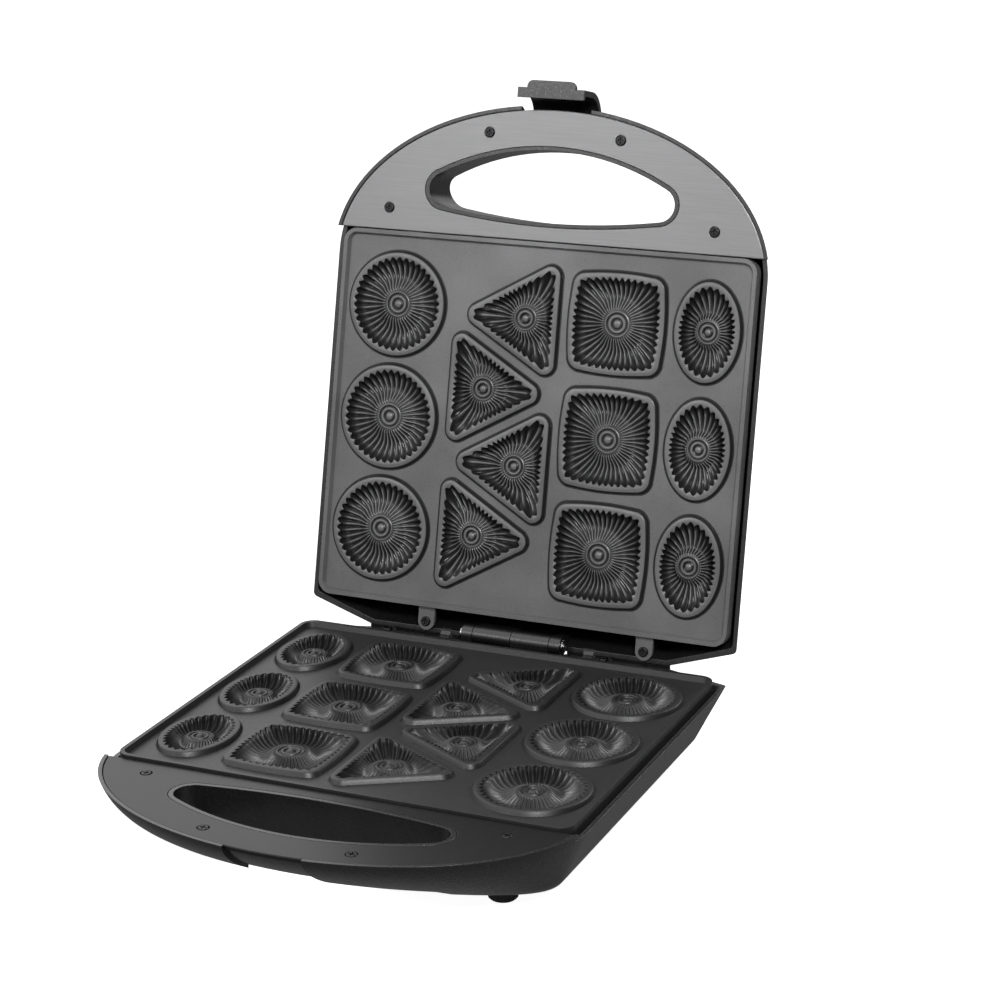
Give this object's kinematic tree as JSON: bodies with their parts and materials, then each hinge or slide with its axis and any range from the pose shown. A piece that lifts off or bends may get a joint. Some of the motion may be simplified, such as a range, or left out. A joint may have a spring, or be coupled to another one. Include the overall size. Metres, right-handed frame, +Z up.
{
  "type": "mini donut maker",
  "caption": "Open countertop cooker with a hinged lid, two cast plates of round, oval, square and triangular ring-cake moulds, cut-out handles and a swing latch.",
  "frame": {"origin": "under the middle of the bounding box of the object as it stands open, on the plane its feet rest on", "axes": "+Z up, +Y from the handles to the hinge, +X to the right as seen from the handles"},
  "size_m": [0.2606, 0.3906, 0.3536],
  "materials": {
    "black_housing": "semi-gloss black moulded phenolic",
    "satin_panel": "satin dark grey",
    "coated_plate": "matte dark grey non-stick coating",
    "element_steel": "dull heat-tinted steel",
    "white_ceramic": "unglazed white ceramic",
    "plated_steel": "zinc-plated",
    "bright_sheet": "bright rolled sheet",
    "dark_screw": "blackened steel",
    "black_rubber": "matte",
    "brown_phenolic": "moulded brown",
    "tinned_metal": "tinned",
    "white_nylon": "natural white",
    "pin_steel": "drawn steel",
    "red_lens": "clear red",
    "green_lens": "clear green",
    "bulb_glass": "clear glass",
    "latch_plastic": "fine-grained black"
  },
  "bodies": {
    "base": {"lower_housing": "black_housing", "lower_handle_panel": "satin_panel", "lower_plate": "coated_plate", "lower_heating_element": "element_steel", "lower_element_insulators": "white_ceramic", "lower_element_clamps": "plated_steel", "lower_clamp_screws": "plated_steel", "lower_reflector": "bright_sheet", "lower_reflector_screws": "plated_steel", "lower_plate_screws": "dark_screw", "lower_panel_screws": "dark_screw", "rubber_feet": "black_rubber", "thermostat": "brown_phenolic", "thermostat_screws": "plated_steel", "thermal_fuse": "tinned_metal", "fuse_strap": "plated_steel", "fuse_strap_screws": "plated_steel", "terminal_block": "white_nylon", "cord_gland": "black_rubber", "hinge_pin": "pin_steel", "hinge_clip": "pin_steel"},
    "lid": {"lid_housing": "black_housing", "lid_handle_panel": "satin_panel", "lid_plate": "coated_plate", "lid_heating_element": "element_steel", "lid_element_insulators": "white_ceramic", "lid_element_clamps": "plated_steel", "lid_clamp_screws": "plated_steel", "lid_reflector": "bright_sheet", "lid_reflector_screws": "plated_steel", "lid_plate_screws": "dark_screw", "lid_panel_screws": "dark_screw", "power_lamp": "red_lens", "ready_lamp": "green_lens", "lamp_bulbs": "bulb_glass", "latch_pin": "pin_steel"},
    "latch": {"latch": "latch_plastic"}
  },
  "joints": [
    {"name": "lid_hinge", "type": "hinge", "parent": "base", "child": "lid", "pos_m": [0, 0.10452, 0.0455], "axis": [1, 0, 0], "range_deg": [0, 103]},
    {"name": "latch_pivot", "type": "hinge", "parent": "lid", "child": "latch", "pos_m": [0, 0.18299, 0.32091], "axis": [1, 0, 0], "range_deg": [0, 22]}
  ]
}
